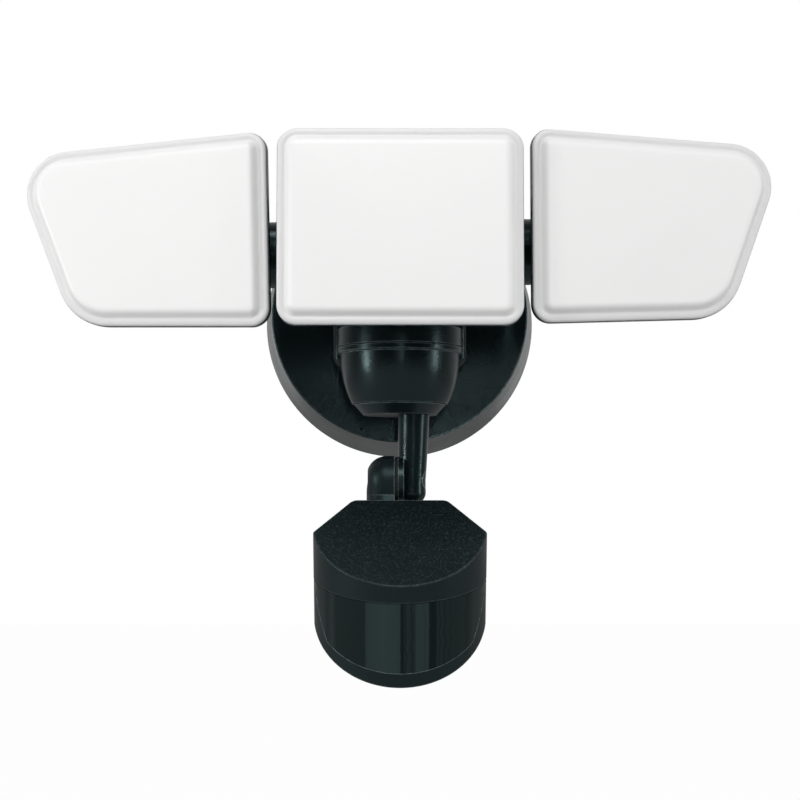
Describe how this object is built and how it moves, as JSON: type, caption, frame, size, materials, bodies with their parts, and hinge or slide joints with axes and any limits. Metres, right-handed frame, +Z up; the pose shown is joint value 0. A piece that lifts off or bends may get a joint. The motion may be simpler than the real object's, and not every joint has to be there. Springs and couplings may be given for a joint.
{
  "type": "motion sensor security light",
  "caption": "Wall-mounted security light with lamp heads on tilting arms, a round canopy and a motion sensor on a swivel arm below.",
  "frame": {"origin": "on the wall plane, at the centre of the round canopy's back", "axes": "+Z up, +Y into the wall, +X to the right of someone facing the light"},
  "size_m": [0.3025, 0.138, 0.2216],
  "materials": {
    "black_casting": "black powder coat, fine satin texture",
    "black_plastic": "fine moulded grain",
    "grey_plastic": "moulded",
    "opal_lens": "opal, smooth",
    "dark_lens": "smoked, glossy, fine vertical ribs",
    "rubber": "matte",
    "steel": "zinc plated",
    "black_screw": "black oxide",
    "green_screw": "green lacquer",
    "white_board": "white solder mask",
    "green_board": "green solder mask",
    "led_chip": "yellow phosphor",
    "terminal_plastic": "natural nylon",
    "detector_can": "plated can",
    "photocell": "clear-coated ceramic",
    "dial_plastic": "moulded"
  },
  "bodies": {
    "base": {"wall_gasket": "rubber", "mounting_strap": "steel", "ground_screw": "green_screw", "canopy": "black_casting", "canopy_screws": "black_screw", "neck_screws": "steel", "driver_case": "grey_plastic", "driver_board": "green_board", "driver_cover": "grey_plastic", "terminal_block": "terminal_plastic", "hub_housing": "black_casting", "hub_cap": "black_casting", "arm_lock_screws": "steel", "collar_ring": "black_casting", "lower_cup": "black_casting", "cup_screws": "steel"},
    "centre_head": {"centre_lens": "opal_lens", "centre_seal": "rubber", "centre_housing": "black_casting", "centre_led_board": "white_board", "centre_leds": "led_chip", "centre_lens_screws": "steel", "centre_hinge_pin": "steel", "centre_hinge_nut": "steel"},
    "right_arm": {"right_arm": "black_casting"},
    "right_head": {"right_lens": "opal_lens", "right_seal": "rubber", "right_housing": "black_casting", "right_led_board": "white_board", "right_leds": "led_chip", "right_lens_screws": "steel", "right_swing_pin": "steel", "right_swing_nut": "steel"},
    "left_arm": {"left_arm": "black_casting"},
    "left_head": {"left_lens": "opal_lens", "left_seal": "rubber", "left_housing": "black_casting", "left_led_board": "white_board", "left_leds": "led_chip", "left_lens_screws": "steel", "left_swing_pin": "steel", "left_swing_nut": "steel"},
    "sensor_arm": {"sensor_arm": "black_plastic", "swivel_ring": "black_plastic", "swivel_nut": "grey_plastic", "friction_washer": "rubber", "tilt_bolt": "steel", "tilt_nut": "steel"},
    "sensor_head": {"sensor_cap": "black_plastic", "sensor_base": "black_plastic", "sensor_lens": "dark_lens", "sensor_screws": "steel", "sensor_board": "green_board", "detector_holder": "grey_plastic", "motion_detectors": "detector_can", "photocell": "photocell", "dial_board": "green_board"},
    "range_dial": {"range_dial": "dial_plastic"},
    "time_dial": {"time_dial": "dial_plastic"}
  },
  "joints": [
    {"name": "centre_tilt", "type": "hinge", "parent": "base", "child": "centre_head", "pos_m": [0, -0.102, 0.008], "axis": [1, 0, 0], "range_deg": [-28, 25]},
    {"name": "right_tilt", "type": "hinge", "parent": "base", "child": "right_arm", "pos_m": [0, -0.088, 0.0204], "axis": [1, 0, 0], "range_deg": [-40, 40]},
    {"name": "right_swing", "type": "hinge", "parent": "right_arm", "child": "right_head", "pos_m": [0.064, -0.088, 0.0204], "axis": [0, 0, 1], "range_deg": [-3, 52]},
    {"name": "left_tilt", "type": "hinge", "parent": "base", "child": "left_arm", "pos_m": [0, -0.088, 0.0204], "axis": [0.9997, 0, 0.0262], "range_deg": [-40, 40]},
    {"name": "left_swing", "type": "hinge", "parent": "left_arm", "child": "left_head", "pos_m": [-0.06398, -0.088, 0.01872], "axis": [0.0262, 0, -0.9997], "range_deg": [-3, 52]},
    {"name": "sensor_swivel", "type": "hinge", "parent": "base", "child": "sensor_arm", "pos_m": [0, -0.08, -0.045], "axis": [0, 0, 1], "range_deg": [-90, 90]},
    {"name": "sensor_tilt", "type": "hinge", "parent": "sensor_arm", "child": "sensor_head", "pos_m": [0, -0.08, -0.0757], "axis": [1, 0, 0], "range_deg": [-50, 40]},
    {"name": "range_turn", "type": "hinge", "parent": "sensor_head", "child": "range_dial", "pos_m": [-0.0075, -0.10067, -0.13974], "axis": [0, 0.693, -0.721], "range_deg": [-135, 135]},
    {"name": "time_turn", "type": "hinge", "parent": "sensor_head", "child": "time_dial", "pos_m": [0.0075, -0.10067, -0.13974], "axis": [0, 0.693, -0.721], "range_deg": [-135, 135]}
  ]
}
